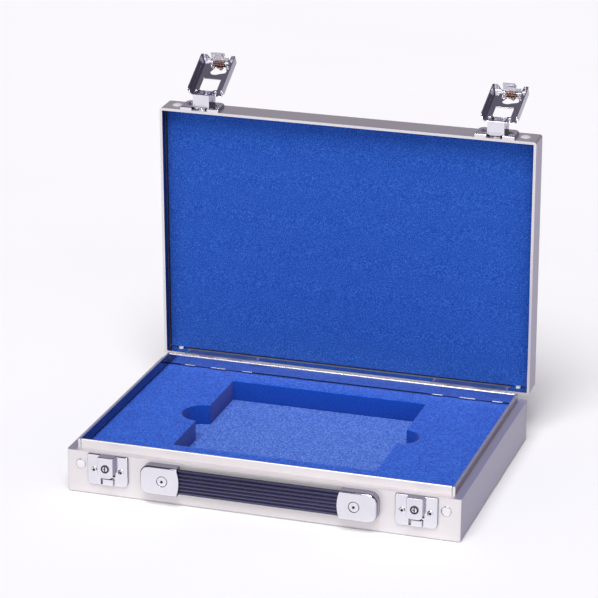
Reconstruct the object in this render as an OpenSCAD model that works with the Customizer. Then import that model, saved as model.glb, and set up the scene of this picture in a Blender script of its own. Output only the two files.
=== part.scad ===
// Flat aluminium trunk with a hinged lid, foam linings, two lockable latches and a strap handle.
// Millimetres. X runs across the case, Y from the front to the back, Z up from the underside.
// The lid and all that it carries are drawn closed and then turned open about the hinge pins.

/* [Case] */
// Outside width of the case
case_w = 350; // [310:5:420]
// Outside depth of the case from front to back
case_d = 240; // [210:5:300]
// Height of the base from its underside to its ledge
base_h = 39; // [37:1:60]
// Depth of the lid
lid_h = 26; // [25:1:40]
// Thickness of the aluminium sheet
sheet_t = 1.2; // [1:0.1:1.5]
// Outside radius of the folded edges and corners
corner_r = 2.5; // [2:0.25:3.5]
// Gap between the closed lid and the ledge of the base
lid_gap = 0.3; // [0.2:0.1:0.5]
// Angle through which the lid stands open
lid_open = 88; // [80:1:88]

/* [Rim] */
// Width of the ledge outside the rim
ledge_w = 7.5; // [7:0.5:10]
// Height of the rim above the ledge
rim_h = 7.8; // [6:0.2:9]
// Open seam between the rim strips at the corners
rim_seam = 0.5; // [0.3:0.1:1]
// Height of the hem folded inside the lid's edge
hem_h = 8; // [6:0.5:9]
// Width of the tabs lapped behind the front and back walls
tab_w = 18; // [12:1:18]

/* [Foam] */
// Thickness of the foam sheet under the pocket
floor_foam_t = 16.2; // [10:0.2:17]
// Level of the base foam below the ledge
foam_drop = 3; // [3:0.5:6]
// Width of the pocket
pocket_w = 183; // [120:1:200]
// Depth of the pocket from front to back
pocket_d = 162.5; // [100:0.5:170]
// Place of the pocket's middle across the case
pocket_x = -3; // [-10:1:10]
// Place of the pocket's middle from front to back
pocket_y = 6.8; // [0:0.2:10]
// Radius of the left finger notch
notch_left_r = 19; // [12:1:22]
// Radius of the right finger notch
notch_right_r = 16; // [12:1:22]
// Place of the finger notches from front to back
notch_y = 5; // [0:1:12]
// Thickness of the foam in the lid
lid_foam_t = 12.8; // [8:0.2:13]
// Clearance of the foam to the side walls
foam_side_gap = 1.5; // [1:0.5:3]
// Clearance of the foam to the front and back walls
foam_end_gap = 3.2; // [3:0.2:5]
// Clearance of the lid's foam to the tabs behind it
lid_foam_gap = 0.3; // [0.2:0.1:1]

/* [Hinges] */
// Distance of each hinge's outer end from the side of the case
hinge_in = 21; // [20:1:40]
// Length of each hinge
hinge_len = 70; // [50:5:80]
// Thickness of the hinge leaves
leaf_t = 1.2; // [1:0.1:1.2]
// Radius of the hinge knuckles
knuckle_r = 3; // [2.8:0.1:3.2]
// Radius of the hinge pins
hinge_pin_r = 1.5; // [1.2:0.1:1.6]
// Gap between the knuckles and the case
barrel_gap = 0.5; // [0.4:0.1:1]
// Height of the leaf inside the lid
lid_leaf_h = 8.6; // [8.2:0.2:11]
// Height of the leaf inside the base
base_leaf_h = 16; // [12:1:20]

/* [Latches] */
// Distance of each latch's middle from the side of the case
latch_in = 38; // [37:0.5:40]
// Width of the keeper plates and latch plates
plate_w = 37; // [36:1:39]
// Height of the keeper plates
keeper_h = 28; // [27:0.5:29]
// Height at which the keeper plates stand out of the wall
keeper_proud = 2.2; // [1.6:0.2:2.4]
// Width of the lock housings
housing_w = 14.3; // [13:0.1:15]
// Height of the lock housings
housing_h = 19.2; // [19:0.1:19.6]
// How far the lock housings stand out of the wall
housing_proud = 8.2; // [7:0.2:8.2]
// Radius of the key plugs
plug_r = 3.8; // [3:0.1:4]
// Height at which the latch plates stand out of the lid
latch_plate_proud = 3; // [2:0.2:3.2]
// Length of the latch plates along the lid's depth
latch_plate_h = 22; // [20:0.5:23]
// Width of the brackets that carry the covers
bracket_w = 15.5; // [13:0.5:15.5]
// Distance of the cover pivots from the lid's wall
pivot_out = 12; // [11.8:0.1:12.4]
// Distance of the cover pivots above the lid's edge
pivot_up = 21.2; // [21.2:0.1:21.6]
// Width of the swinging covers
cover_w = 33; // [31:0.5:34]
// Length of the covers beyond their pivots
cover_len = 44; // [43.4:0.2:45]
// Depth of the covers' flanges inside the plate
flange_h = 7.4; // [6:0.2:7.6]
// Thickness of the covers' pressed steel
cover_t = 1; // [0.8:0.1:1]
// Angle of the left cover above the lid's own plane
left_lean = 28.5; // [15:0.5:60]
// Angle of the right cover above the lid's own plane
right_lean = 19.5; // [15:0.5:60]
// Wire thickness of the catch springs
spring_wire = 0.9; // [0.7:0.1:1]
// Number of turns in each catch spring
spring_turns = 7; // [4:1:7]

/* [Handle] */
// Distance from each latch's middle to the nearer handle screw
screw_from_latch = 52; // [48:1:60]
// Length of each handle cap
cap_len = 35.5; // [33:0.5:38]
// Height of the handle caps
cap_h = 26; // [25:0.5:27]
// How far the handle caps stand out of the wall
cap_proud = 9.5; // [9:0.5:12]
// Height of the strap
strap_h = 23; // [20:0.5:23]
// Thickness of the strap at its middle
strap_t = 5.4; // [4.8:0.2:5.6]
// Number of grooves along the strap
strap_grooves = 6; // [4:1:7]

/* [Fasteners] */
// Radius of the rivets' shanks
rivet_r = 1.5; // [1.2:0.1:1.6]
// Radius of the corner rivets' domed heads
corner_head_r = 4.7; // [4:0.1:5]
// Distance of the corner rivets from the sides
corner_rivet_in = 12.8; // [12:0.2:14]

/* [Hidden] */
$fn = 48;
eps = 0.01;
fit = 0.05; // radial clearance of a turning fit
play = 0.3; // clearance between parts that pass each other
rivet_fit = 0.05;
tail_h = 0.8; // height of the rivets' tails
tail_lip = 0.7; // how far the tails stand out beyond the shank
eyelet_head_r = 2.8;
eyelet_bore_r = 0.85;
hinge_head_r = 2.6;
small_head_h = 1.1; // domes of the eyelets and of the hinges' rivets
corner_head_h = 1.6; // domes of the corner rivets

inner_r = corner_r - sheet_t;
rim_t = 2 * sheet_t;
rim_out_w = case_w - 2 * ledge_w;
rim_out_d = case_d - 2 * ledge_w;
lid_z = base_h + lid_gap; // the closed lid's edge
lid_top = lid_z + lid_h;
foam_top = base_h - foam_drop;
insert_z = sheet_t + floor_foam_t;
foam_w = case_w - 2 * (sheet_t + foam_side_gap);
foam_d = case_d - 2 * (sheet_t + foam_end_gap);
pocket_left = pocket_x - pocket_w / 2;
pocket_right = pocket_x + pocket_w / 2;

hinge_x = case_w / 2 - hinge_in - hinge_len / 2;
latch_x = case_w / 2 - latch_in;
handle_pitch = 2 * (latch_x - screw_from_latch);
hinge_y = case_d / 2 + barrel_gap + knuckle_r;
hinge_z = base_h - sheet_t - play;
knuckle_len = hinge_len / 5;
base_leaf_z = base_h - sheet_t - leaf_t; // underside of the leaf below the ledge

keeper_top = base_h - 0.6;
keeper_bottom = keeper_top - keeper_h;
housing_bottom = keeper_top - housing_h;
plug_z = keeper_top - 10.2;
plug_lip = 0.8; // step from the plug's head to its shank
eyelet_dx = 12.2; // the plates' rivets from the latch's middle
eyelet_z = keeper_top - 14.2;
latch_rivet_z = lid_z + 10.7;

pivot_y = -case_d / 2 - pivot_out;
pivot_z = lid_z + pivot_up;
cover_in = pivot_out - housing_proud - 2.8; // inner face of the cover's plate beyond the pivot
pivot_pin_r = 1.2;
ear_t = 1;
ear_r = 2.4;
slot_half = bracket_w / 2 + 0.55;
catch_u = 36.6; // the catch's pin along the cover
catch_w = -1.3; // the catch's pin across the cover
catch_pin_r = 0.8;
catch_left = -5.2;
catch_right = 9;
spring_r = 2.2; // outside radius of the catch spring
catch_ear_r = 1.9;
cover_corner_r = 3;

handle_z = 24;
cap_wall = 1.2;
screw_in_cap = 15.2; // from each cap's inner end to its screw
cap_in = handle_pitch / 2 - screw_in_cap;
strap_in_cap = 9.6; // length of strap inside each cap
screw_head_r = 4.4;
screw_r = 2;
screw_head_h = 0.9;
screw_dome_r = 11;
screw_sink = 1.2; // depth of the recess round each head
socket_r = 1.4; // hexagonal socket
backing_w = 24;
backing_h = 18;
backing_t = 1.5;
nut_h = 3.2;
screw_tail = sheet_t + backing_t + nut_h + 0.7; // end of the screws behind the wall's face
foam_relief = 8.5; // depth of the reliefs in the foam behind the screws
plug_relief = 6.5; // and behind the key plugs
corner_rivet_z = base_h - 12;
lid_rivet_z = lid_z + lid_h / 2;
lid_back_rivet_z = lid_z + hem_h + 3.2;

// Placing

// Turns what is drawn on the closed lid to where the open lid carries it
module lid_pose() {
  translate([0, hinge_y, hinge_z]) rotate([-lid_open, 0, 0]) translate([0, -hinge_y, -hinge_z])
    children();
}

// Stands what is drawn in the cover's own frame (X across, -Z along, -Y outwards, pivot at zero)
// on its pivot, leaning back by the given angle above the lid's plane
module cover_pose(side) {
  lean = side < 0 ? left_lean : right_lean;
  lid_pose() translate([side * latch_x, pivot_y, pivot_z]) rotate([lean - 180, 0, 0]) children();
}

// Points what is drawn along +Z out of the front wall, at a given height
module on_front(x, z) {
  translate([x, -case_d / 2, z]) rotate([90, 0, 0]) children();
}

// Points what is drawn along +Z out of the back wall
module on_back(x, z) {
  translate([x, case_d / 2, z]) rotate([-90, 0, 0]) children();
}

// Outlines and solids used more than once

// Rectangle about zero with rounded corners
module round_rect(w, d, r) {
  square([w - 2 * r, d], center = true);
  square([w, d - 2 * r], center = true);
  for (x = [-1, 1], y = [-1, 1])
    translate([x * (w / 2 - r), y * (d / 2 - r)]) circle(r);
}

// Rectangle from zero upwards, with one radius for its lower and one for its upper corners
module plate_outline(w, h, low_r, high_r) {
  difference() {
    translate([-w / 2, 0]) square([w, h]);
    for (x = [-1, 1]) {
      translate([x * (w / 2 - low_r), low_r]) corner_cut(x, -1, low_r);
      translate([x * (w / 2 - high_r), h - high_r]) corner_cut(x, 1, high_r);
    }
  }
}

// What a corner of radius r loses, in the quarter that x and y point to
module corner_cut(x, y, r) {
  difference() {
    translate([x > 0 ? 0 : -r - 1, y > 0 ? 0 : -r - 1]) square(r + 1);
    circle(r);
  }
}

// Solid tray shape with rounded upright corners and rounded lower edges
module pan(w, d, h, r) {
  translate([0, 0, r]) linear_extrude(h - r) round_rect(w, d, r);
  translate([-w / 2 + r, -d / 2 + r, 0]) cube([w - 2 * r, d - 2 * r, 2 * r]);
  for (y = [-1, 1])
    translate([-w / 2 + r, y * (d / 2 - r), r]) rotate([0, 90, 0]) cylinder(r = r, h = w - 2 * r);
  for (x = [-1, 1])
    translate([x * (w / 2 - r), -d / 2 + r, r]) rotate([-90, 0, 0]) cylinder(r = r, h = d - 2 * r);
  for (x = [-1, 1], y = [-1, 1])
    translate([x * (w / 2 - r), y * (d / 2 - r), r]) sphere(r);
}

// Sheet tray with an open top
module tray(w, d, h) {
  difference() {
    pan(w, d, h, corner_r);
    translate([0, 0, sheet_t]) pan(w - 2 * sheet_t, d - 2 * sheet_t, h, inner_r);
  }
}

// Rivet whose domed head stands on z = 0 and whose shank grips back to a flat tail
module rivet(head_r, head_h, grip, tail = tail_h) {
  dome_r = (head_r * head_r + head_h * head_h) / (2 * head_h);
  intersection() {
    translate([0, 0, head_h - dome_r]) sphere(dome_r);
    cylinder(r = head_r + 1, h = head_h + 1);
  }
  translate([0, 0, -grip - tail]) cylinder(r = rivet_r, h = grip + tail + eps);
  if (tail > 0) translate([0, 0, -grip - tail]) cylinder(r = rivet_r + tail_lip, h = tail);
}

// Hollow eyelet rivet
module eyelet(head_r, grip) {
  difference() {
    rivet(head_r, small_head_h, grip);
    translate([0, 0, -grip / 2]) cylinder(r = eyelet_bore_r, h = grip + 2);
  }
}

module rivet_hole(r = rivet_r) {
  translate([0, 0, -2 * keeper_proud - 3]) cylinder(r = r + rivet_fit, h = 4 * keeper_proud + 6);
}

// Base

module rim_strip(len) {
  top_r = rim_t / 2;
  translate([-len / 2, -rim_t / 2, -eps]) cube([len, rim_t, rim_h - top_r + eps]);
  translate([-len / 2, 0, rim_h - top_r]) rotate([0, 90, 0]) cylinder(r = top_r, h = len);
}

module rim() {
  for (x = [-1, 1])
    translate([x * (rim_out_w - rim_t) / 2, 0, base_h]) rotate([0, 0, 90]) rim_strip(rim_out_d);
  for (y = [-1, 1])
    translate([0, y * (rim_out_d - rim_t) / 2, base_h]) rim_strip(rim_out_w - 2 * rim_t - 2 * rim_seam);
}

module ledge() {
  translate([0, 0, base_h - sheet_t]) linear_extrude(sheet_t) difference() {
    round_rect(case_w, case_d, corner_r);
    square([rim_out_w - 2 * rim_t, rim_out_d - 2 * rim_t], center = true);
  }
}

// Tabs of the side walls lapped behind the front and back walls, drawn from z = 0 to h
module corner_tabs(h) {
  for (x = [-1, 1], y = [-1, 1])
    translate([x * (case_w / 2 - sheet_t - tab_w / 2), y * (case_d / 2 - 1.5 * sheet_t + eps / 2), h / 2])
      cube([tab_w, sheet_t + eps, h], center = true);
}

// Middles of the three base knuckles and the two lid knuckles along a hinge
function base_knuckles() = [for (i = [-2, 0, 2]) i * knuckle_len];
function lid_knuckles() = [for (i = [-1, 1]) i * knuckle_len];

module base_shell() color("gainsboro") {
  difference() {
    union() {
      tray(case_w, case_d, base_h - eps);
      ledge();
      rim();
      translate([0, 0, corner_r]) corner_tabs(base_h - corner_r - sheet_t);
    }
    for (s = [-1, 1]) {
      on_front(s * (case_w / 2 - corner_rivet_in), corner_rivet_z) rivet_hole();
      on_back(s * (case_w / 2 - corner_rivet_in), corner_rivet_z) rivet_hole();
      on_front(s * handle_pitch / 2, handle_z) rivet_hole(screw_r);
      on_front(s * latch_x, plug_z) rivet_hole(plug_r + 0.4);
      for (e = [-1, 1]) on_front(s * latch_x + e * eyelet_dx, eyelet_z) rivet_hole();
      for (k = base_knuckles()) {
        translate([s * hinge_x + k - knuckle_len / 2, case_d / 2 - 2 * sheet_t, base_leaf_z - 0.1])
          cube([knuckle_len, 3 * sheet_t, leaf_t + 0.1]);
        on_back(s * hinge_x + k, base_rivet_z) rivet_hole();
      }
    }
  }
}

module foam_sheet(z, t, relief_h) {
  difference() {
    translate([0, 0, z + t / 2]) cube([foam_w, foam_d, t], center = true);
    for (s = [-1, 1])
      translate([s * handle_pitch / 2 - backing_w / 2 - 2, -case_d / 2, z - 1])
        cube([backing_w + 4, foam_relief, relief_h + 1]);
    for (s = [-1, 1])
      translate([s * latch_x - 2 * plug_r, -case_d / 2, z - 1]) cube([4 * plug_r, plug_relief, relief_h + 1]);
  }
}

module base_foam_floor() color("royalblue")
  foam_sheet(sheet_t, floor_foam_t, floor_foam_t + 1);

module base_foam_insert() color("royalblue") {
  t = foam_top - insert_z;
  difference() {
    foam_sheet(insert_z, t, t - 2);
    translate([pocket_left, pocket_y - pocket_d / 2, insert_z - 1]) cube([pocket_w, pocket_d, t + 2]);
    translate([pocket_left, notch_y - 1, insert_z - 1]) cylinder(r = notch_left_r, h = t + 2);
    translate([pocket_right, notch_y + 1.5, insert_z - 1]) cylinder(r = notch_right_r, h = t + 2);
  }
}

module base_corner_rivets() color("whitesmoke")
  for (s = [-1, 1]) {
    on_front(s * (case_w / 2 - corner_rivet_in), corner_rivet_z) rivet(corner_head_r, corner_head_h, 2 * sheet_t);
    on_back(s * (case_w / 2 - corner_rivet_in), corner_rivet_z) rivet(corner_head_r, corner_head_h, 2 * sheet_t);
  }

// Keepers and locks

scoop_r = keeper_proud;
scoop_w = 12.4;
scoop_z = keeper_bottom + 0.5 + scoop_r;

module keeper_plate(side) color("silver") {
  skin = 1;
  on_front(side * latch_x, 0) difference() {
    union() {
      difference() {
        translate([0, keeper_bottom]) linear_extrude(keeper_proud)
          plate_outline(plate_w, keeper_h, 5, 1.6);
        translate([0, keeper_bottom + skin, -1]) linear_extrude(keeper_proud - skin + 1)
          plate_outline(plate_w - 2 * skin, keeper_h - 2 * skin, 4, 1);
        translate([-scoop_w / 2 - 0.2, keeper_bottom + skin, 0]) cube([scoop_w + 0.4, 6.2, 5]);
      }
      // rolled lip below the housing, open at its left end
      translate([-scoop_w / 2 + 1.8, scoop_z, keeper_proud - 0.4]) rotate([0, 90, 0])
        cylinder(r = scoop_r, h = scoop_w - 1.6);
      for (e = [-1, 1]) translate([e * eyelet_dx, eyelet_z, 0]) cylinder(r = 3, h = keeper_proud - skin + eps);
    }
    for (e = [-1, 1]) translate([e * eyelet_dx, eyelet_z, 0]) rivet_hole();
    translate([-housing_w / 2 - 0.1, housing_bottom - 0.1, -1]) cube([housing_w + 0.2, housing_h + 1, 5]);
    translate([-plate_w / 2, keeper_bottom, -5]) cube([plate_w, keeper_h, 5]);
  }
}

module keeper_rivets() color("silver")
  for (s = [-1, 1], e = [-1, 1])
    on_front(s * latch_x + e * eyelet_dx, eyelet_z) translate([0, 0, keeper_proud])
      eyelet(eyelet_head_r, keeper_proud + sheet_t);

module lock_housing(side) color("gainsboro") {
  on_front(side * latch_x, 0) difference() {
    translate([0, housing_bottom]) linear_extrude(housing_proud)
      plate_outline(housing_w, housing_h, 4.6, 0.8);
    // opening for the catch's claw behind the housing's front
    translate([-5.9, housing_bottom - 1, 3.2]) cube([11.8, 4, housing_proud - 4.2]);
    translate([0, plug_z, plug_step]) cylinder(r = plug_r + fit, h = housing_proud);
    translate([0, plug_z, -1]) cylinder(r = plug_r - plug_lip + fit, h = housing_proud);
  }
}

plug_step = 1.6; // level of the plug's shoulder above the wall

module lock_plug(side) color("silver") {
  on_front(side * latch_x, plug_z) difference() {
    union() {
      translate([0, 0, plug_step + fit]) cylinder(r = plug_r, h = housing_proud - plug_step + 0.5);
      translate([0, 0, -3.4]) cylinder(r = plug_r - plug_lip, h = plug_step + 3.6);
      // retaining washer behind the wall
      translate([0, 0, -sheet_t - 1]) cylinder(r = plug_r + 1, h = plug_lip);
    }
    translate([-0.5, -2.3, housing_proud - 2]) cube([1, 4.4, 4]);
    translate([-1.5, -0.5, housing_proud - 2]) cube([1.2, 1, 4]);
  }
}

// Handle

module cap_outline(grow) {
  r = 8.6;
  bulge_r = 35;
  difference() {
    translate([0, -cap_h / 2 - grow]) square([cap_len + grow, cap_h + 2 * grow]);
    for (y = [-1, 1])
      translate([cap_len - r, y * (cap_h / 2 - r)]) corner_cut(1, y, r + grow);
    difference() {
      translate([-1, -cap_h]) square([6, 2 * cap_h]);
      translate([bulge_r, 0]) circle(bulge_r);
    }
  }
}

module handle_cap(side) color("whitesmoke") {
  on_front(0, handle_z) mirror([side < 0 ? 1 : 0, 0, 0]) translate([cap_in, 0, 0]) difference() {
    linear_extrude(cap_proud) cap_outline(0);
    // room for the strap, open towards the middle and the wall
    translate([-5, -strap_h / 2 - play, -1]) cube([strap_in_cap + 5.6, strap_h + 2 * play, cap_proud - cap_wall + 1]);
    translate([strap_in_cap, -core_h / 2 - 2, -1]) cube([cap_len - strap_in_cap - 4, core_h + 4, core_out + play + 1]);
    translate([screw_in_cap, 0, -1]) cylinder(r = screw_r + 0.1, h = cap_proud + 2);
    translate([screw_in_cap, 0, cap_proud - screw_sink]) cylinder(r = screw_head_r + 0.6, h = 2);
  }
}

strap_out = cap_proud - cap_wall - 0.5; // outermost line of the strap
strap_half = cap_in + strap_in_cap;

module strap_section() {
  arc_r = 34;
  intersection() {
    translate([-strap_h / 2, strap_out - strap_t]) square([strap_h, strap_t]);
    translate([0, strap_out - arc_r]) circle(arc_r);
  }
}

module handle_strap() color("midnightblue") {
  pitch = strap_h / (strap_grooves + 1);
  on_front(0, handle_z) rotate([90, 0, 90]) translate([0, 0, -strap_half]) difference() {
    linear_extrude(2 * strap_half) strap_section();
    for (i = [1:strap_grooves])
      translate([-strap_h / 2 + i * pitch, strap_out - 0.1 - pow(i * pitch - strap_h / 2, 2) / 68, -1])
        cylinder(r = 0.62, h = 2 * strap_half + 2);
    translate([-core_h / 2 - 0.1, core_out - core_t - 0.1, -1]) cube([core_h + 0.2, core_t + 0.2, 2 * strap_half + 2]);
  }
}

core_h = 14;
core_t = 1.4;
core_out = strap_out - strap_t / 2 + core_t / 2;

module handle_core() color("dimgray") {
  half = handle_pitch / 2 + 6;
  on_front(0, handle_z) difference() {
    translate([-half, -core_h / 2, core_out - core_t]) cube([2 * half, core_h, core_t]);
    for (s = [-1, 1]) translate([s * (handle_pitch / 2 - 1), 0, 0]) {
      for (e = [-1, 1]) translate([e * 3, 0, 0]) cylinder(r = screw_r + 0.4, h = cap_proud);
      translate([-3, -screw_r - 0.4, 0]) cube([6, 2 * screw_r + 0.8, cap_proud]);
    }
  }
}

module handle_screws() color("silver")
  for (s = [-1, 1]) on_front(s * handle_pitch / 2, handle_z) difference() {
    union() {
      translate([0, 0, cap_proud - screw_sink]) {
        cylinder(r = screw_head_r, h = screw_head_h);
        translate([0, 0, screw_head_h - eps]) intersection() {
          translate([0, 0, screw_head_h - screw_dome_r]) sphere(screw_dome_r);
          cylinder(r = screw_head_r, h = 2);
        }
      }
      translate([0, 0, -screw_tail]) cylinder(r = screw_r, h = screw_tail + cap_proud - screw_sink + eps);
    }
    translate([0, 0, cap_proud - 1]) cylinder(r = socket_r, h = 3, $fn = 6);
  }

module handle_backing_plates() color("silver")
  for (s = [-1, 1]) on_front(s * handle_pitch / 2, handle_z) difference() {
    union() {
      translate([-backing_w / 2, -backing_h / 2, -sheet_t - backing_t]) cube([backing_w, backing_h, backing_t]);
      translate([0, 0, -sheet_t - backing_t - nut_h]) cylinder(r = 2 * screw_r, h = nut_h + eps, $fn = 6);
    }
    translate([0, 0, -5 * screw_r]) cylinder(r = screw_r + rivet_fit, h = 6 * screw_r);
  }

// Hinges

base_rivet_z = base_leaf_z - base_leaf_h / 2 - 1;
leaf_tab_w = 14.4; // middle one of the three tabs on the leaf's front edge
tab_shift = 2.4;
lid_leaf_rivet_z = lid_z + 5.2;

module knuckle(len) {
  translate([-len / 2, hinge_y, hinge_z]) rotate([0, 90, 0]) cylinder(r = knuckle_r, h = len);
}

module pin_bore(x) {
  translate([x - hinge_len, hinge_y, hinge_z]) rotate([0, 90, 0])
    cylinder(r = hinge_pin_r + fit, h = 2 * hinge_len);
}

module hinge_base_leaf(side) color("silver") {
  x0 = side * hinge_x;
  wall_in = case_d / 2 - sheet_t;
  front = case_d / 2 - ledge_w - rim_t - 0.6;
  len = knuckle_len - play;
  stop_z = hinge_z + barrel_gap + knuckle_r;
  difference() {
    union() {
      // plate under the ledge, its front edge cut into three tabs
      translate([x0 - hinge_len / 2, front + 1.8, base_leaf_z])
        cube([hinge_len, wall_in - front - 1.8, leaf_t]);
      translate([x0 - hinge_len / 2, wall_in - leaf_t, base_leaf_z - base_leaf_h])
        cube([hinge_len, leaf_t, base_leaf_h + leaf_t]);
      for (i = [-1, 0, 1]) translate([x0 + 2 * i * knuckle_len + tab_shift, front + 1.5, base_leaf_z + leaf_t / 2])
        cube([i == 0 ? leaf_tab_w : leaf_tab_w - 4.8, 3, leaf_t], center = true);
      for (k = base_knuckles()) translate([x0 + k, 0, 0]) {
        translate([-len / 2, wall_in - eps, base_leaf_z]) cube([len, hinge_y - wall_in, leaf_t]);
        knuckle(len);
        // tail of the rolled knuckle, on which the open lid comes to rest
        translate([-len / 2 + 2, hinge_y + 1.9, hinge_z]) cube([len - 4, knuckle_r - 1.9, stop_z - hinge_z - 0.06]);
      }
    }
    pin_bore(x0);
    for (k = base_knuckles()) on_back(x0 + k, base_rivet_z) rivet_hole();
  }
}

module hinge_lid_leaf(side) color("silver") lid_pose() {
  x0 = side * hinge_x;
  wall_in = case_d / 2 - sheet_t;
  len = knuckle_len - play;
  slant = 3;
  difference() {
    union() {
      // plate on the wall's inner face, with slanted ends
      translate([x0, wall_in, lid_z]) rotate([90, 0, 0]) linear_extrude(leaf_t)
        polygon([[-hinge_len / 2, 0], [hinge_len / 2, 0], [hinge_len / 2 - slant, lid_leaf_h], [-hinge_len / 2 + slant, lid_leaf_h]]);
      for (k = lid_knuckles()) translate([x0 + k, 0, 0]) {
        translate([-len / 2, wall_in - leaf_t, lid_z]) cube([len, hinge_y - wall_in + leaf_t, leaf_t]);
        knuckle(len);
      }
    }
    pin_bore(x0);
    for (k = base_knuckles()) on_back(x0 + k, lid_leaf_rivet_z) rivet_hole();
  }
}

module hinge_pin(side) color("gray")
  translate([side * hinge_x, hinge_y, hinge_z]) rotate([0, 90, 0]) {
    translate([0, 0, -hinge_len / 2]) cylinder(r = hinge_pin_r, h = hinge_len);
    for (e = [-1, 1]) translate([0, 0, e * (hinge_len / 2 + 0.35) - 0.45])
      cylinder(r = hinge_pin_r + 0.7, h = 0.9);
  }

module hinge_base_rivets() color("whitesmoke")
  for (s = [-1, 1], k = base_knuckles())
    on_back(s * hinge_x + k, base_rivet_z) rivet(hinge_head_r, small_head_h, sheet_t + leaf_t);

module hinge_lid_rivets() color("whitesmoke") lid_pose()
  for (s = [-1, 1], k = base_knuckles())
    on_back(s * hinge_x + k, lid_leaf_rivet_z) rivet(hinge_head_r, small_head_h, sheet_t + leaf_t, 0);

// Lid

module hem() {
  translate([0, 0, lid_z]) linear_extrude(hem_h) difference() {
    round_rect(case_w - sheet_t, case_d - sheet_t, corner_r - sheet_t / 2);
    round_rect(case_w - 4 * sheet_t, case_d - 4 * sheet_t, 0.6);
    for (s = [-1, 1]) translate([s * hinge_x - hinge_len / 2 - 0.5, case_d / 2 - 3 * sheet_t])
      square([hinge_len + 1, 2 * sheet_t]);
  }
}

module lid_shell() color("lightgray") lid_pose() {
  difference() {
    union() {
      translate([0, 0, lid_top]) mirror([0, 0, 1]) tray(case_w, case_d, lid_h);
      hem();
      translate([0, 0, lid_z + hem_h - eps]) corner_tabs(lid_h - hem_h - corner_r);
    }
    for (s = [-1, 1]) {
      on_front(s * (case_w / 2 - corner_rivet_in), lid_rivet_z) rivet_hole();
      on_back(s * (case_w / 2 - corner_rivet_in), lid_back_rivet_z) rivet_hole();
      for (e = [-1, 1]) on_front(s * latch_x + e * eyelet_dx, latch_rivet_z) rivet_hole();
      for (k = lid_knuckles())
        translate([s * hinge_x + k - knuckle_len / 2 - play, case_d / 2 - 2 * sheet_t, lid_z - 1])
          cube([knuckle_len + 2 * play, 3 * sheet_t, leaf_t + 1.3]);
      for (k = base_knuckles()) on_back(s * hinge_x + k, lid_leaf_rivet_z) rivet_hole();
    }
  }
}

module lid_foam() color("mediumblue") lid_pose() {
  z = lid_top - sheet_t - lid_foam_t;
  back = case_d / 2 - 2 * sheet_t - lid_foam_gap;
  notch = rivet_r + tail_lip + play;
  difference() {
    translate([-foam_w / 2, -foam_d / 2, z]) cube([foam_w, foam_d / 2 + back, lid_foam_t]);
    // room for the tails of the rear corner rivets
    for (s = [-1, 1])
      translate([s * (case_w / 2 - corner_rivet_in) - notch, back - tail_h - play, z - 1])
        cube([2 * notch, 2 * tail_h, lid_back_rivet_z + notch - z + 1]);
  }
}

module lid_corner_rivets() color("whitesmoke") lid_pose()
  for (s = [-1, 1]) {
    on_front(s * (case_w / 2 - corner_rivet_in), lid_rivet_z) rivet(corner_head_r, corner_head_h, 2 * sheet_t);
    on_back(s * (case_w / 2 - corner_rivet_in), lid_back_rivet_z) rivet(corner_head_r, corner_head_h, 2 * sheet_t);
  }

// Latches

foot_w = 14.6;
foot_r = 8;

module latch_plate(side) color("silver") lid_pose() {
  skin = 1;
  on_front(side * latch_x, lid_z) difference() {
    union() {
      difference() {
        linear_extrude(latch_plate_proud) plate_outline(plate_w, latch_plate_h, 1, 6);
        translate([0, skin, -1]) linear_extrude(latch_plate_proud - skin + 1)
          plate_outline(plate_w - 2 * skin, latch_plate_h - 2 * skin, 0.6, 5);
        // cut at the lid's edge in which the half-round foot lies
        translate([-foot_w / 2, -1, -1]) cube([foot_w, 5.2, 6]);
      }
      intersection() {
        translate([0, foot_r + 0.2, 0]) cylinder(r = foot_r, h = latch_plate_proud - 0.4);
        translate([-foot_w / 2, 0, 0]) cube([foot_w, 4.4, 5]);
      }
      for (e = [-1, 1]) translate([e * eyelet_dx, latch_rivet_z - lid_z, 0])
        cylinder(r = 3, h = latch_plate_proud - skin + eps);
    }
    for (e = [-1, 1]) translate([e * eyelet_dx, latch_rivet_z - lid_z, 0]) rivet_hole();
  }
}

module latch_plate_rivets() color("silver") lid_pose()
  for (s = [-1, 1], e = [-1, 1])
    on_front(s * latch_x + e * eyelet_dx, latch_rivet_z) translate([0, 0, latch_plate_proud])
      eyelet(eyelet_head_r, latch_plate_proud + sheet_t);

// Sheet bracket: two cheeks, a front and a top, open at the back where the cover's pin lies
module latch_bracket(side) color("gainsboro") lid_pose() {
  t = 1.2;
  end_r = 2.2;
  front_z = pivot_z - 15.9;
  top = pivot_out + end_r;
  translate([side * latch_x, -case_d / 2, 0]) difference() {
    translate([-bracket_w / 2, 0, 0]) rotate([0, 0, 90]) rotate([90, 0, 0]) linear_extrude(bracket_w) {
      translate([-top, front_z]) square([top - latch_plate_proud, pivot_z - front_z]);
      translate([-pivot_out, front_z]) square([pivot_out - latch_plate_proud, pivot_z + end_r - front_z]);
      translate([-pivot_out, pivot_z]) circle(end_r);
    }
    translate([-bracket_w / 2 + t, -top + t, front_z + t]) cube([bracket_w - 2 * t, top, 30]);
    translate([-bracket_w / 2 + t, -top - 1, pivot_z - end_r - 0.6]) cube([bracket_w - 2 * t, top, 30]);
    translate([-bracket_w, -pivot_out, pivot_z]) rotate([0, 90, 0]) cylinder(r = pivot_pin_r + fit, h = 2 * bracket_w);
    translate([-bracket_w, -6.6, pivot_z - 7]) rotate([0, 90, 0]) cylinder(r = 1.3, h = 2 * bracket_w);
  }
}

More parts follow.
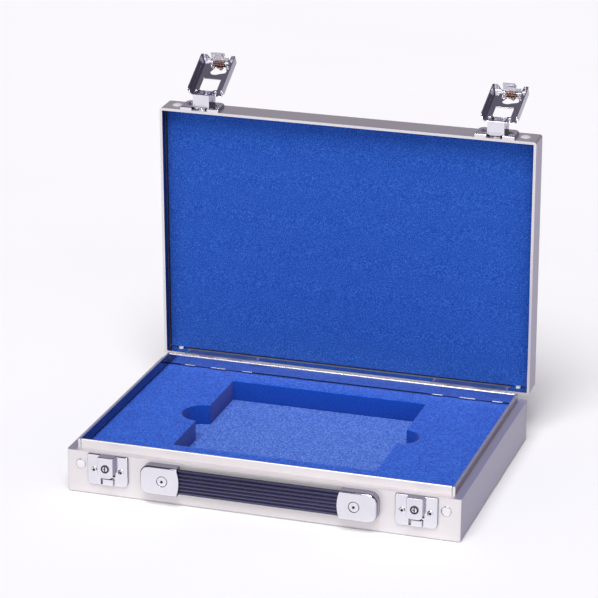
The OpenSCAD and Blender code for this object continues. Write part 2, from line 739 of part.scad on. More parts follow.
// Pivot pin fixed in the cover's ears, with flats against the cover's plate
module latch_pin(side) color("dimgray") {
  half = slot_half + ear_t + 0.25;
  head_r = pivot_pin_r + 0.6;
  cover_pose(side) difference() {
    rotate([0, 90, 0]) {
      translate([0, 0, -half]) cylinder(r = pivot_pin_r, h = 2 * half);
      for (e = [-1, 1]) translate([0, 0, e * (half + 0.3) - 0.3 - eps]) cylinder(r = head_r, h = 0.6 + 2 * eps);
    }
    for (e = [-1, 1])
      translate([e * (slot_half + 5) - 5, -2 * head_r - cover_in + fit, -head_r - 1]) cube([10, 2 * head_r, 2 * head_r + 2]);
  }
}

// The cover's plate in its own plane: X across, Y from the pivot to the free end
module cover_outline() {
  near = 3.5;
  difference() {
    translate([0, -near]) plate_outline(cover_w, cover_len + near, 5, cover_corner_r);
    // slot over the bracket
    translate([-slot_half, -near - 1]) square([2 * slot_half, 18 + near + 1]);
    key_window();
    // corner window beside the catch
    polygon([[-11.6, 38.2], [-7, 38.8], [-6.8, 41.8], [-11.8, 41.6]]);
  }
}

// Irregular window through which the key reaches the lock
module key_window() {
  polygon([
    [-4.6, 27], [-3.7, 25], [-1.6, 23.7], [1.4, 23.5], [4, 24.8], [6.7, 25.7], [9.4, 26.7], [10.4, 28.6],
    [9.6, 31.2], [8.3, 33.8], [6.7, 33.9], [5.8, 31.6], [5.2, 29.4], [4.2, 29.8], [2.8, 31.1],
    [0.8, 32], [-0.8, 33], [-2, 32], [-3, 30],
  ]);
}

// Runs a solid drawn in the plate's plane from the plate's inner face outwards
module from_cover_plane(inner, t) {
  rotate([0, 0, 180]) translate([0, inner, 0]) rotate([-90, 0, 0]) linear_extrude(t) children();
}

// The cover's wall, which runs along both sides and round the free corners
module cover_wall() {
  edge = cover_in - flange_h;
  depth = flange_h + cover_t;
  near = 5; // end of the wall beyond the pivot
  near_r = 2.4;
  far_r = 3.4;
  end_gap = 9; // half the opening in the free end, at the plate
  difference() {
    from_cover_plane(edge, depth) difference() {
      translate([0, -near]) plate_outline(cover_w, cover_len + near, 0.2, cover_corner_r);
      translate([0, -near - 1])
        plate_outline(cover_w - 2 * cover_t, cover_len + near + 1 - cover_t, 0.2, cover_corner_r - cover_t);
    }
    // rounded ends, seen from the side
    for (e = [[near, near_r, 1], [-cover_len, far_r, -1]])
      translate([-cover_w, -edge - e[1], e[0] - e[2] * e[1]]) rotate([90, 0, 90])
        linear_extrude(2 * cover_w) corner_cut(1, e[2], e[1]);
    translate([-cover_w, -edge - flange_h - 1, near - near_r - 1.2]) cube([2 * cover_w, flange_h - near_r, near]);
    // opening for the catch, with slanted ends
    translate([0, 0, -cover_len - 1]) linear_extrude(cover_corner_r + 1) polygon([
      [-end_gap, -cover_in], [end_gap, -cover_in],
      [cover_w / 2 - cover_corner_r, -edge + 1], [-cover_w / 2 + cover_corner_r, -edge + 1]]);
  }
}

module latch_cover(side) color("silver") cover_pose(side) {
  difference() {
    union() {
      from_cover_plane(cover_in, cover_t) mirror([1, 0]) cover_outline();
      cover_wall();
      for (s = [-1, 1]) {
        // ear on the pivot pin, with a round bore below the plate
        translate([s * (slot_half + ear_t / 2) - ear_t / 2, 0, 0]) difference() {
          union() {
            rotate([0, 90, 0]) cylinder(r = ear_r, h = ear_t);
            translate([0, -cover_in - eps, -ear_r]) cube([ear_t, cover_in + eps, 2 * ear_r]);
          }
          translate([-1, 0, 0]) intersection() {
            rotate([0, 90, 0]) cylinder(r = pivot_pin_r + fit, h = ear_t + 2);
            translate([0, -cover_in, -ear_r]) cube([ear_t + 2, 4 * ear_r, 2 * ear_r]);
          }
        }
      }
      // ears on the catch's pin
      for (x = [catch_left - 1.2, catch_right + 0.2])
        translate([x, 0, -catch_u]) rotate([0, 90, 0]) {
          translate([0, -catch_w, 0]) cylinder(r = catch_ear_r, h = 1);
          translate([-catch_ear_r, -cover_in - eps, 0]) cube([2 * catch_ear_r, cover_in - catch_w + eps, 1]);
        }
    }
    translate([0, -catch_w, -catch_u]) rotate([0, 90, 0]) translate([0, 0, -12]) cylinder(r = catch_pin_r + fit, h = 24);
  }
}

module catch_pin(side) color("dimgray") cover_pose(side)
  translate([0, -catch_w, -catch_u]) rotate([0, 90, 0]) {
    translate([0, 0, catch_left - 1.5]) cylinder(r = catch_pin_r, h = catch_right - catch_left + 3);
    for (x = [catch_left - 1.5, catch_right + 1.5]) translate([0, 0, x - 0.25]) cylinder(r = catch_pin_r + 0.4, h = 0.5);
  }

// The sprung catch: two ears on the pin, a bar across them, a claw that
// enters the housing from below, and a thumb tab beyond the cover's end
module latch_catch(side) color("whitesmoke") cover_pose(side) {
  bar_out = 1; // outer face of the bar, across the cover
  claw_left = -7.4;
  claw_right = 4;
  claw_u = 42.2;
  claw_w = -7.5;
  tab_len = cover_len + 4.6 - claw_u;
  difference() {
    union() {
      for (x = [catch_left, catch_right - 1]) translate([x, 0, 0]) {
        translate([0, -catch_w, -catch_u]) rotate([0, 90, 0]) cylinder(r = catch_ear_r, h = 1);
        translate([0, bar_out, -claw_u - 1.2]) cube([1, 1.4, claw_u + 1.2 - catch_u]);
      }
      translate([catch_left, bar_out, -claw_u - 1.2]) cube([catch_right - catch_left, 1, 3.4]);
      translate([claw_left, bar_out, -claw_u - 1.2]) cube([claw_right - claw_left, 1, 1.2 + eps]);
      translate([claw_left, bar_out, -claw_u - 1.2]) cube([claw_right - claw_left, -claw_w - bar_out, 1.2]);
      // barb that hooks up behind the housing's front
      translate([-5.5, -claw_w - 1.2, -claw_u - 1.2]) cube([9, 1.2, 3.1]);
      // thumb tab, with rounded corners
      translate([(claw_left + claw_right) / 2, bar_out + 1, -claw_u - 0.6]) rotate([90, 0, 0]) mirror([0, 1])
        linear_extrude(1) plate_outline(claw_right - claw_left, tab_len, 0.4, 2);
    }
    translate([0, -catch_w, -catch_u]) rotate([0, 90, 0]) translate([0, 0, -12]) cylinder(r = catch_pin_r + fit, h = 24);
  }
}

// Catch spring: one wire wound about the pin, between the catch's ears

coil_r = spring_r - spring_wire / 2;
coil_from = catch_left + 1.7;
coil_to = catch_right - 1.7;
coil_pitch = (coil_to - coil_from - spring_wire) / spring_turns;
ring_steps = 8;
wire_sides = 6;

// Point on the middle of the wire at turn a
function coil_point(a) = [coil_from + spring_wire / 2 + a * coil_pitch, coil_r * cos(360 * a), coil_r * sin(360 * a)];
coil_path = [for (i = [0:spring_turns * ring_steps]) coil_point(i / ring_steps)];

// Least gap between the wire's surface and itself, a turn or more away
function coil_gap() = min([for (i = [0:len(coil_path) - 1], j = [i + ring_steps - 1:1:len(coil_path) - 1])
  if (j < len(coil_path)) norm(coil_path[i] - coil_path[j]) - spring_wire]);

// Points of one ring of the wire, square to its run
function ring(p, a) = [for (k = [0:wire_sides - 1])
  let (b = 360 * k / wire_sides, out = [0, cos(360 * a), sin(360 * a)])
  p + spring_wire / 2 * (cos(b) * out + sin(b) * [1, 0, 0])];

module coil() {
  rings = [for (i = [0:len(coil_path) - 1]) ring(coil_path[i], i / ring_steps)];
  points = [for (r = rings, p = r) p];
  n = wire_sides;
  last = (len(rings) - 1) * n;
  sides = [for (i = [0:len(rings) - 2], k = [0:n - 1], half = [0, 1])
    let (a = i * n + k, b = i * n + (k + 1) % n)
    half == 0 ? [a, a + n, b] : [b, a + n, b + n]];
  ends = concat([for (k = [1:n - 2]) [0, k, k + 1]], [for (k = [1:n - 2]) [last, last + k + 1, last + k]]);
  echo(coil_gap = coil_gap());
  polyhedron(points, concat(sides, ends));
}

module catch_spring(side) color("saddlebrown") cover_pose(side)
  translate([0, -catch_w, -catch_u]) coil();

base_shell();
base_foam_floor();
base_foam_insert();
base_corner_rivets();
keeper_plate(-1);  // keeper_plate_left
keeper_plate(1);  // keeper_plate_right
keeper_rivets();
lock_housing(-1);  // lock_housing_left
lock_housing(1);  // lock_housing_right
lock_plug(-1);  // lock_plug_left
lock_plug(1);  // lock_plug_right
handle_cap(-1);  // handle_cap_left
handle_cap(1);  // handle_cap_right
handle_strap();
handle_core();
handle_screws();
handle_backing_plates();
hinge_base_leaf(-1);  // hinge_base_leaf_left
hinge_base_leaf(1);  // hinge_base_leaf_right
hinge_pin(-1);  // hinge_pin_left
hinge_pin(1);  // hinge_pin_right
hinge_base_rivets();
hinge_lid_leaf(-1);  // hinge_lid_leaf_left
hinge_lid_leaf(1);  // hinge_lid_leaf_right
hinge_lid_rivets();
lid_shell();
lid_foam();
lid_corner_rivets();
latch_plate(-1);  // latch_plate_left
latch_plate(1);  // latch_plate_right
latch_plate_rivets();
latch_bracket(-1);  // latch_bracket_left
latch_bracket(1);  // latch_bracket_right
latch_pin(-1);  // latch_pin_left
latch_pin(1);  // latch_pin_right
latch_cover(-1);  // latch_cover_left
latch_cover(1);  // latch_cover_right
catch_pin(-1);  // catch_pin_left
catch_pin(1);  // catch_pin_right
catch_spring(-1);  // catch_spring_left
catch_spring(1);  // catch_spring_right
latch_catch(-1);  // latch_catch_left
latch_catch(1);  // latch_catch_right
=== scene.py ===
from math import cos, pi, radians, sin

import bpy
from mathutils import Matrix, Vector


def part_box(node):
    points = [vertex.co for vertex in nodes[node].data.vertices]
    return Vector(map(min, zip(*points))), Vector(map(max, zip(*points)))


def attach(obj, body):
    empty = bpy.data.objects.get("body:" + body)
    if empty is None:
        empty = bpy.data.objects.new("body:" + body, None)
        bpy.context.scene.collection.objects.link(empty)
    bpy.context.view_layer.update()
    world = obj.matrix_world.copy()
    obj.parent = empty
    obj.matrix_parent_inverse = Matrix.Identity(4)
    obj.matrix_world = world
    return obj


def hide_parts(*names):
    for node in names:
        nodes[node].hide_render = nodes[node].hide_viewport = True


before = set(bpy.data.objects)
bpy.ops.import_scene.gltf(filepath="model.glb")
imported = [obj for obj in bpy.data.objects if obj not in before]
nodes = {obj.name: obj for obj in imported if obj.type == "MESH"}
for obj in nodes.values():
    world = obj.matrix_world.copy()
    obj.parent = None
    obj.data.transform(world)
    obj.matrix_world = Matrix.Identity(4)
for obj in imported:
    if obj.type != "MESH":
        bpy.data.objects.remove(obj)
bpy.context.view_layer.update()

print("frame loaded,", len(nodes), "nodes")

# Camera at the photograph's angle

view = {
    "lens": 169.70,
    "sensor": 36,
    "azimuth": 17.3078,
    "elevation": 19.2865,
    "roll": 0.4801,
    "target": (-0.06172, 0.1838, 0.0875),
    "distance": 2.65005,
    "farthest": 60,
}


def addCamera():
    turn, rise = radians(view["azimuth"]), radians(view["elevation"])
    back = Vector((sin(turn) * cos(rise), -cos(turn) * cos(rise), sin(rise)))
    data = bpy.data.cameras.new("viewCamera")
    data.lens = view["lens"]
    data.sensor_width = view["sensor"]
    data.clip_end = view["farthest"]
    camera = bpy.data.objects.new("viewCamera", data)
    aim = Matrix.Rotation(turn, 4, "Z") @ Matrix.Rotation(pi / 2 - rise, 4, "X")
    camera.matrix_world = (
        Matrix.Translation(Vector(view["target"]) + back * view["distance"])
        @ aim @ Matrix.Rotation(radians(view["roll"]), 4, "Z")
    )
    bpy.context.scene.collection.objects.link(camera)
    bpy.context.scene.camera = camera


addCamera()

# Places that several pieces share

latchX = 0.137  # middle of each latch and of the lock below it
screwX = 0.085  # handle screws
lidHinge = {"place": (0.1235, 0.0375), "open": 88}

# openLid carries a piece drawn on the shut lid to where the lid stands, and shutLid back again
hingeLine = Matrix.Translation((0, *lidHinge["place"]))
openLid = hingeLine @ Matrix.Rotation(-radians(lidHinge["open"]), 4, "X") @ hingeLine.inverted()
shutLid = openLid.inverted()

# Materials

socketNames = {
    "colour": "Base Color", "roughness": "Roughness", "metallic": "Metallic", "normal": "Normal",
}


class Wire:  # a socket of a material, with plain arithmetic on it
    def __init__(self, tree, socket=None):
        self.tree = tree
        self.socket = socket

    def node(self, kind, settings=None, sockets=None, out=0):
        made = self.tree.nodes.new(kind)
        for name, value in (settings or {}).items():
            setattr(made, name, value)
        for name, value in (sockets or {}).items():
            if isinstance(value, Wire):
                self.tree.links.new(value.socket, made.inputs[name])
            else:
                made.inputs[name].default_value = value
        return Wire(self.tree, made.outputs[out])

    def maths(self, operation, other=0.0):
        return self.node("ShaderNodeMath", {"operation": operation}, {0: self, 1: other})

    def __add__(self, other):
        return self.maths("ADD", other)

    def __sub__(self, other):
        return self.maths("SUBTRACT", other)

    def __mul__(self, other):
        return self.maths("MULTIPLY", other)

    __radd__ = __add__
    __rmul__ = __mul__

    def __rsub__(self, other):
        return self.node("ShaderNodeMath", {"operation": "SUBTRACT"}, {0: other, 1: self})

    def size(self):
        return self.maths("ABSOLUTE")

    def fade(self, low, high):  # 0 below low, 1 above high
        return self.node(
            "ShaderNodeMapRange", {"interpolation_type": "SMOOTHSTEP"},
            {"Value": self, "From Min": low, "From Max": high},
        )

    def noise(self, scale, detail=2.0, rough=0.5):
        return self.node(
            "ShaderNodeTexNoise", None,
            {"Vector": self, "Scale": scale, "Detail": detail, "Roughness": rough},
        )

    def between(self, low, high):  # mixes two colours by this value
        first, second = [(*shade, 1) if isinstance(shade, tuple) else shade for shade in (low, high)]
        return self.node("ShaderNodeMix", {"data_type": "RGBA"}, {0: self, 6: first, 7: second}, out=2)


def startMaterial(name, fixed):
    made = bpy.data.materials.new(name)
    made.use_nodes = True
    tree = made.node_tree
    shader = tree.nodes["Principled BSDF"]
    for socket, value in fixed.items():
        shader.inputs[socket].default_value = value
    place = Wire(tree).node("ShaderNodeTexCoord", out="Object")
    return made, shader, place


def plug(shader, **wires):
    for name, wire in wires.items():
        wire.tree.links.new(wire.socket, shader.inputs[socketNames[name]])


def bumped(height, strength, distance):
    return height.node("ShaderNodeBump", None, {"Height": height, "Strength": strength, "Distance": distance})


def axisOf(place, axis):
    return place.node("ShaderNodeSeparateXYZ", None, {0: place}, out=axis)


def facing(place, *axes):  # how squarely the surface faces along any of these axes of the object
    normal = place.node("ShaderNodeTexCoord", out="Normal")
    most = axisOf(normal, axes[0]).size()
    for axis in axes[1:]:
        most = most.maths("MAXIMUM", axisOf(normal, axis).size())
    return most


def shutPlace(place):  # where a point of the standing lid lies when the lid is shut
    return place.node("ShaderNodeMapping", None, {
        "Vector": place, "Location": shutLid.to_translation(), "Rotation": shutLid.to_euler(),
    })


sheetFinish = {
    "pale": (0.785, 0.755, 0.77),
    "dull": (0.745, 0.715, 0.73),
    # painted shade: darker copies of the sheet's colour for the front walls, the end walls outside and
    # inside, and the side ledges
    "frontShadedPale": (0.68, 0.652, 0.66),
    "frontShadedDull": (0.645, 0.618, 0.627),
    "endShade": (0.264, 0.238, 0.335),
    "innerShade": (0.14, 0.13, 0.20),
    "ledgeShade": (0.36, 0.335, 0.42),
    "metal": 0.85,
    "frontMetal": 0.42,
    "endMetal": 0.6,
    "ledgeMetal": 0.4,
    "roughness": 0.34,
    "insideRoughness": 0.16,
    "patches": 9,
    "grain": 900,
    "patchShare": 0.7,
    "tone": (0.3, 0.7),
    "unevenness": 0.08,
    "bump": (0.05, 0.0001),
    "squarely": (0.75, 0.95),  # how squarely a wall has to face an axis to count
    "ledgeFrom": (0.167, 0.168),
    "ledgeAbove": (0.03, 0.034),
}
trayInside = {
    "wall": 0.001,
    "soft": 0.0001,
    "base": ((-0.1664, -0.1114, 0.0011), (0.1664, 0.1114, 0.08)),
    "lidEdge": 0.0011,
    "lidMouth": 0.05,  # the lid's open side has no wall
}


def lidInside():
    points = [shutLid @ vertex.co for vertex in nodes["lid_shell"].data.vertices]
    low, high = [[pick(point[axis] for point in points) for axis in range(3)] for pick in (min, max)]
    edge = trayInside["lidEdge"]
    return (
        (low[0] + edge, low[1] + edge, low[2] - trayInside["lidMouth"]),
        (high[0] - edge, high[1] - edge, high[2] - edge),
    )


def insideTray(place, low, high):  # 1 within the walls of a tray, 0 outside them
    wall, soft = trayInside["wall"], trayInside["soft"]
    total = None
    for axis in range(3):
        middle, half = (low[axis] + high[axis]) / 2, (high[axis] - low[axis]) / 2
        away = (axisOf(place, axis) - middle).size()
        part = 1 - away.fade(half - wall - soft, half - wall + soft)
        total = part if total is None else total * part
    return total


def sheetMaterial(name, onLid):
    finish = sheetFinish
    made, shader, place = startMaterial(name, {"Metallic": 1.0})
    if onLid:
        within = insideTray(shutPlace(place), *lidInside())
    else:
        within = insideTray(place, *trayInside["base"])
    outside = 1 - within
    ends = facing(place, 0).fade(*finish["squarely"])
    front = facing(place, 1).fade(*finish["squarely"]) * outside
    broad = place.noise(finish["patches"], 3)
    grain = place.noise(finish["grain"], 4, 0.6)
    tone = (broad * finish["patchShare"] + grain * (1 - finish["patchShare"])).fade(*finish["tone"])
    colour = tone.between(finish["dull"], finish["pale"])
    colour = (ends * outside).between(colour, finish["endShade"])  # painted shade: the end walls outside the tray are darkened
    # painted shade on the end walls within the tray
    colour = (ends * within).between(colour, finish["innerShade"])
    # painted shade: the front walls, which carry less metal, take a darker copy of the sheet's colour so that
    # the lamp they face does not overexpose them
    colour = front.between(colour, tone.between(finish["frontShadedDull"], finish["frontShadedPale"]))
    metal = finish["metal"] + within * (1 - finish["metal"])
    metal = metal - ends * outside * (finish["metal"] - finish["endMetal"])
    metal = metal - front * (finish["metal"] - finish["frontMetal"])
    if not onLid:  # painted shade on the base's ledges, at its left and right
        ledge = axisOf(place, 0).size().fade(*finish["ledgeFrom"])
        ledge = ledge * facing(place, 2).fade(*finish["squarely"])
        ledge = ledge * axisOf(place, 2).fade(*finish["ledgeAbove"])
        colour = ledge.between(colour, finish["ledgeShade"])
        metal = metal - ledge * (finish["metal"] - finish["ledgeMetal"])
    rough = finish["roughness"] + (grain - 0.5) * finish["unevenness"]
    rough = rough - within * (finish["roughness"] - finish["insideRoughness"])
    plug(shader, colour=colour, roughness=rough, metallic=metal, normal=bumped(grain, *finish["bump"]))
    return made


# Painted shade in bores, sockets and slots, and in rings round a screw head and the keyway: how far from the
# middle of the case and from the latch's middle, the height, the ring between two radii, and the depth behind
# which it is painted dark
paintedShadeFinish = {"colour": (0.012, 0.012, 0.02), "roughness": 0.5, "soft": 0.00006, "deep": 0.0001}
paintedShadePlaces = {
    "chrome_plate": [
        {"from": latchX, "apart": 0.0122, "height": 0.0242, "ring": (0, 0.00125)},
        {"from": screwX, "apart": 0, "height": 0.024, "ring": (0, 0.00125)},
        {"from": screwX, "apart": 0, "height": 0.024, "ring": (0.00425, 0.00475), "depth": -0.12945},
        {"from": latchX, "apart": 0, "height": 0.0282, "ring": (0, 0.0031), "depth": -0.12865},
        {"from": latchX, "apart": 0, "height": 0.0282, "ring": (0.0022, 0.0037)},
    ],
    "lidChrome": [{"from": latchX, "apart": 0.0122, "height": 0.05, "ring": (0, 0.0012)}],
}


def paintedShadeSpots(place, spots):
    soft = paintedShadeFinish["soft"]
    x, y, z = [axisOf(place, axis) for axis in range(3)]
    total = None
    for spot in spots:
        inner, outer = spot["ring"]
        aside = (x.size() - spot["from"]).size() - spot["apart"]
        rise = z - spot["height"]
        reach = (aside * aside + rise * rise).maths("SQRT")
        part = 1 - reach.fade(outer - soft, outer + soft)
        if inner:
            part = part * reach.fade(inner - soft, inner + soft)
        if "depth" in spot:
            part = part * y.fade(spot["depth"], spot["depth"] + paintedShadeFinish["deep"])
        total = part if total is None else total.maths("MAXIMUM", part)
    return total


metalFinish = {  # edges and rim are the axes by which painted shade darkens narrow sides and the foot of a dome
    "chrome_plate": {
        "pale": (0.80, 0.79, 0.84), "dull": (0.74, 0.73, 0.78), "roughness": 0.09, "grain": 1280,
        "edges": (0, 2), "paintedEdgeShade": (0.27, 0.26, 0.34),
    },
    "steel": {"pale": (0.62, 0.61, 0.66), "dull": (0.50, 0.49, 0.54), "roughness": 0.34, "grain": 2000},
    "rivet": {
        "pale": (0.82, 0.81, 0.84), "dull": (0.76, 0.75, 0.79), "roughness": 0.2, "grain": 2800,
        "metal": 0.7, "rim": (1,), "paintedEdgeShade": (0.24, 0.23, 0.29),
    },
    "spring": {"pale": (0.36, 0.15, 0.07), "dull": (0.13, 0.045, 0.03), "roughness": 0.34, "grain": 2400},
}
metalFinish["lidRivet"] = dict(metalFinish["rivet"], rim=None, metal=0.4)
metalFinish["catchChrome"] = dict(metalFinish["chrome_plate"], edges=(0,), metal=0.6)
metalFinish["coverChrome"] = dict(metalFinish["chrome_plate"], edges=(0,))
metalFinish["lidChrome"] = dict(metalFinish["coverChrome"], onLid=True)
metalLook = {  # what every one of these finishes shares
    "patches": 60,
    "patchShare": 0.6,
    "tone": (0.32, 0.68),
    "unevenness": (0.08, 0.05),
    "bump": (0.05, 0.00005),
    "edgeShadeFade": (0.35, 0.85),
    "rimShadeFade": (0.82, 0.89),
}


def metalMaterial(name, finish):
    made, shader, place = startMaterial(name, {"Metallic": finish.get("metal", 1.0)})
    broad = place.noise(metalLook["patches"], 3)
    grain = place.noise(finish["grain"], 3)
    tone = broad * metalLook["patchShare"] + grain * (1 - metalLook["patchShare"])
    colour = tone.fade(*metalLook["tone"]).between(finish["dull"], finish["pale"])
    if finish.get("edges"):  # painted shade darkens the narrow sides that face along these axes
        side = facing(place, *finish["edges"]).fade(*metalLook["edgeShadeFade"])
        colour = side.between(colour, finish["paintedEdgeShade"])
    if finish.get("rim"):  # and painted shade round the foot of a dome
        foot = 1 - facing(place, *finish["rim"]).fade(*metalLook["rimShadeFade"])
        colour = foot.between(colour, finish["paintedEdgeShade"])
    broadly, finely = metalLook["unevenness"]
    rough = finish["roughness"] + (broad - 0.5) * broadly + (grain - 0.5) * finely
    # painted shade in the bores, slots and rings listed above
    if name in paintedShadePlaces:
        dark = paintedShadeSpots(shutPlace(place) if finish.get("onLid") else place, paintedShadePlaces[name])
        colour = dark.between(colour, paintedShadeFinish["colour"])
        rough = rough + dark * paintedShadeFinish["roughness"]
        plug(shader, metallic=1 - dark)
    plug(shader, colour=colour, roughness=rough, normal=bumped(grain, *metalLook["bump"]))
    return made


foamFinish = {
    "foam": {
        "deep": (0.004, 0.037, 0.33), "middle": (0.0105, 0.079, 0.49), "light": (0.036, 0.16, 0.67),
        # wall is a painted shade for the cut walls
        "grain": 600, "spread": 2.15, "wall": (0.0008, 0.042, 0.315),
    },
    "floorFoam": {
        "deep": (0.016, 0.069, 0.36), "middle": (0.048, 0.135, 0.53), "light": (0.126, 0.247, 0.70),
        "grain": 560, "spread": 2.35, "wall": None,
    },
    # painted shade: the lid's foam is the base's foam, given darker tints for the light it faces
    "lidFoam": {
        "deep": (0.003, 0.031, 0.245), "middle": (0.0092, 0.066, 0.37), "light": (0.037, 0.137, 0.51),
        "grain": 850, "spread": 1.55, "wall": None,
    },
}
foamSurface = {"Roughness": 0.92, "Sheen Weight": 0.15, "Sheen Roughness": 0.5, "Specular IOR Level": 0.12}
foamLook = {  # what every foam shares
    "fine": 2600,
    "patches": 60,
    "cells": 1.6,  # times the foam's own grain
    "counts": {"speck": 0.9, "fine": 0.35, "patch": 0.06, "cells": 0.3},
    "cellMiddle": 0.45,
    "lower": (0.15, 0.5),
    "upper": (0.5, 0.85),
    "wallShadeShare": 0.85,
    "wallShadeFade": (0.3, 0.7),
    "bumpShare": 0.6,
    "bump": (0.7, 0.0006),
}


def foamMaterial(name):
    tints = foamFinish[name]
    made, shader, place = startMaterial(name, foamSurface)
    speck = place.noise(tints["grain"], 3, 0.62)
    fine = place.noise(foamLook["fine"], 1)
    patch = place.noise(foamLook["patches"])
    scale = tints["grain"] * foamLook["cells"]
    cells = place.node("ShaderNodeTexVoronoi", None, {"Vector": place, "Scale": scale})
    counts = foamLook["counts"]
    tone = (speck - 0.5) * counts["speck"] + (fine - 0.5) * counts["fine"]
    tone = tone + (patch - 0.5) * counts["patch"] + (cells - foamLook["cellMiddle"]) * counts["cells"]
    tone = 0.5 + tone * tints["spread"]
    lower = tone.fade(*foamLook["lower"]).between(tints["deep"], tints["middle"])
    colour = tone.fade(*foamLook["upper"]).between(lower, tints["light"])
    if tints["wall"]:  # painted shade darkens the cut walls
        wall = (1 - facing(place, 2).fade(*foamLook["wallShadeFade"])) * foamLook["wallShadeShare"]
        colour = wall.between(colour, tints["wall"])
    height = speck * foamLook["bumpShare"] + cells * (1 - foamLook["bumpShare"])
    plug(shader, colour=colour, normal=bumped(height, *foamLook["bump"]))
    return made


materials = {name: metalMaterial(name, finish) for name, finish in metalFinish.items()}
materials.update({name: foamMaterial(name) for name in foamFinish})
materials["baseSheet"] = sheetMaterial("baseSheet", onLid=False)
materials["lidSheet"] = sheetMaterial("lidSheet", onLid=True)
print("materials ready")

# Modelling helpers

past = 0.01  # how far a cutter runs past what it cuts
mergeWithin = 1e-6
postSides = 64


def deselect():
    if bpy.context.object and bpy.context.object.mode != "OBJECT":
        bpy.ops.object.mode_set(mode="OBJECT")
    bpy.ops.object.select_all(action="DESELECT")


def take(piece):
    deselect()
    piece.select_set(True)
    bpy.context.view_layer.objects.active = piece


def settle(piece):
    take(piece)
    bpy.ops.object.transform_apply(location=True, rotation=True, scale=True)


def modify(piece, kind, **settings):
    take(piece)
    change = piece.modifiers.new(kind.lower(), kind)
    for name, value in settings.items():
        setattr(change, name, value)
    bpy.ops.object.modifier_apply(modifier=change.name)


def combine(piece, other, operation):
    modify(piece, "BOOLEAN", operation=operation, solver="EXACT", object=other)
    bpy.data.objects.remove(other)


def addBox(name, low, high):
    deselect()
    middle = [(a + b) / 2 for a, b in zip(low, high)]
    bpy.ops.mesh.primitive_cube_add(size=1, location=middle)
    piece = bpy.context.object
    piece.name = name
    piece.scale = [b - a for a, b in zip(low, high)]
    settle(piece)
    return piece


def addPost(name, centre, radius, low, high):
    deselect()
    bpy.ops.mesh.primitive_cylinder_add(
        vertices=postSides, radius=radius, depth=high - low, location=(*centre, (low + high) / 2)
    )
    piece = bpy.context.object
    piece.name = name
    settle(piece)
    return piece


def bounds(piece):
    points = [v.co for v in piece.data.vertices]
    low = Vector([min(p[i] for p in points) for i in range(3)])
    high = Vector([max(p[i] for p in points) for i in range(3)])
    return low, high


def roundEdges(piece, width, segments, angle, clamp=True):
    modify(
        piece, "BEVEL", width=width, segments=segments, limit_method="ANGLE", angle_limit=radians(angle),
        use_clamp_overlap=clamp, miter_outer="MITER_ARC",
    )


def smooth(piece, angle):
    take(piece)
    bpy.ops.object.shade_smooth_by_angle(angle=radians(angle))


def outward(piece):
    take(piece)
    bpy.ops.object.mode_set(mode="EDIT")
    bpy.ops.mesh.select_all(action="SELECT")
    bpy.ops.mesh.remove_doubles(threshold=mergeWithin)
    bpy.ops.mesh.normals_make_consistent(inside=False)
    bpy.ops.object.mode_set(mode="OBJECT")


def dress(piece, material):
    piece.data.materials.clear()
    piece.data.materials.append(materials[material])


def finishPiece(piece, body, slot, material, *replaced):
    dress(piece, material)
    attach(piece, body)
    if replaced:
        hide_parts(*replaced)


# Foam

foamShape = {
    "lid": ((-0.1723, -0.1156, 0.0513), (0.1723, 0.1173, 0.0641)),
    "lidNotches": {"from": 0.1622, "half": 0.0025, "low": (0.1162, 0.04), "high": (0.13, 0.0530)},
    "edge": 0.0008,
    "wave": 0.0003,
    "waveLength": 0.05,
    "faceWithin": 0.0002,  # of its level, for a point to belong to the waved face
    "grid": 0.009,
    "pocket": ((-0.0945, -0.07445), (0.0885, 0.08805)),
    "notches": [((-0.0945, 0.004), 0.019), ((0.0885, 0.0065), 0.016)],
    # Behind the screws and the locks: how far from the middle, half the width, how far back
    "reliefs": [(screwX, 0.014, -0.1115), (latchX, 0.0076, -0.1135)],
    "reliefCover": 0.002,  # foam left above them in the insert
}


def sliceUp(piece, step):
    low, high = bounds(piece)
    take(piece)
    bpy.ops.object.mode_set(mode="EDIT")
    for axis in range(3):
        normal = [0, 0, 0]
        normal[axis] = 1
        count = int((high[axis] - low[axis]) / step)
        for i in range(1, count):
            point = list((low + high) / 2)
            point[axis] = low[axis] + (high[axis] - low[axis]) * i / count
            bpy.ops.mesh.select_all(action="SELECT")
            bpy.ops.mesh.bisect(plane_co=point, plane_no=normal)
    bpy.ops.object.mode_set(mode="OBJECT")


def ripple(piece, level, height):  # slight waves in the face at this height, inwards only
    texture = bpy.data.textures.new(piece.name + "Wave", "CLOUDS")
    texture.noise_scale = foamShape["waveLength"]
    group = piece.vertex_groups.new(name="face")
    faces = [v.index for v in piece.data.vertices if abs(v.co.z - level) < foamShape["faceWithin"]]
    group.add(faces, 1, "REPLACE")
    modify(
        piece, "DISPLACE", texture=texture, strength=height, mid_level=1.0, vertex_group="face",
        texture_coords="LOCAL",
    )
    piece.vertex_groups.clear()


def cutReliefs(piece, low, top):
    for side in (-1, 1):
        for place, half, back in foamShape["reliefs"]:
            start = (side * place - half, low[1] - past, low[2] - past)
            combine(piece, addBox("relief", start, (side * place + half, back, top)), "DIFFERENCE")


def cutLidNotches(piece):  # room for the tails of the lid's rear corner rivets
    notch = foamShape["lidNotches"]
    for side in (-1, 1):
        start = (side * notch["from"] - notch["half"], *notch["low"])
        end = (side * notch["from"] + notch["half"], *notch["high"])
        combine(piece, addBox("rivetNotch", start, end), "DIFFERENCE")


def cutPocket(piece, bottom, top):
    start, end = foamShape["pocket"]
    combine(piece, addBox("pocketCut", (*start, bottom), (*end, top)), "DIFFERENCE")
    for centre, radius in foamShape["notches"]:
        combine(piece, addPost("notchCut", centre, radius, bottom, top), "DIFFERENCE")


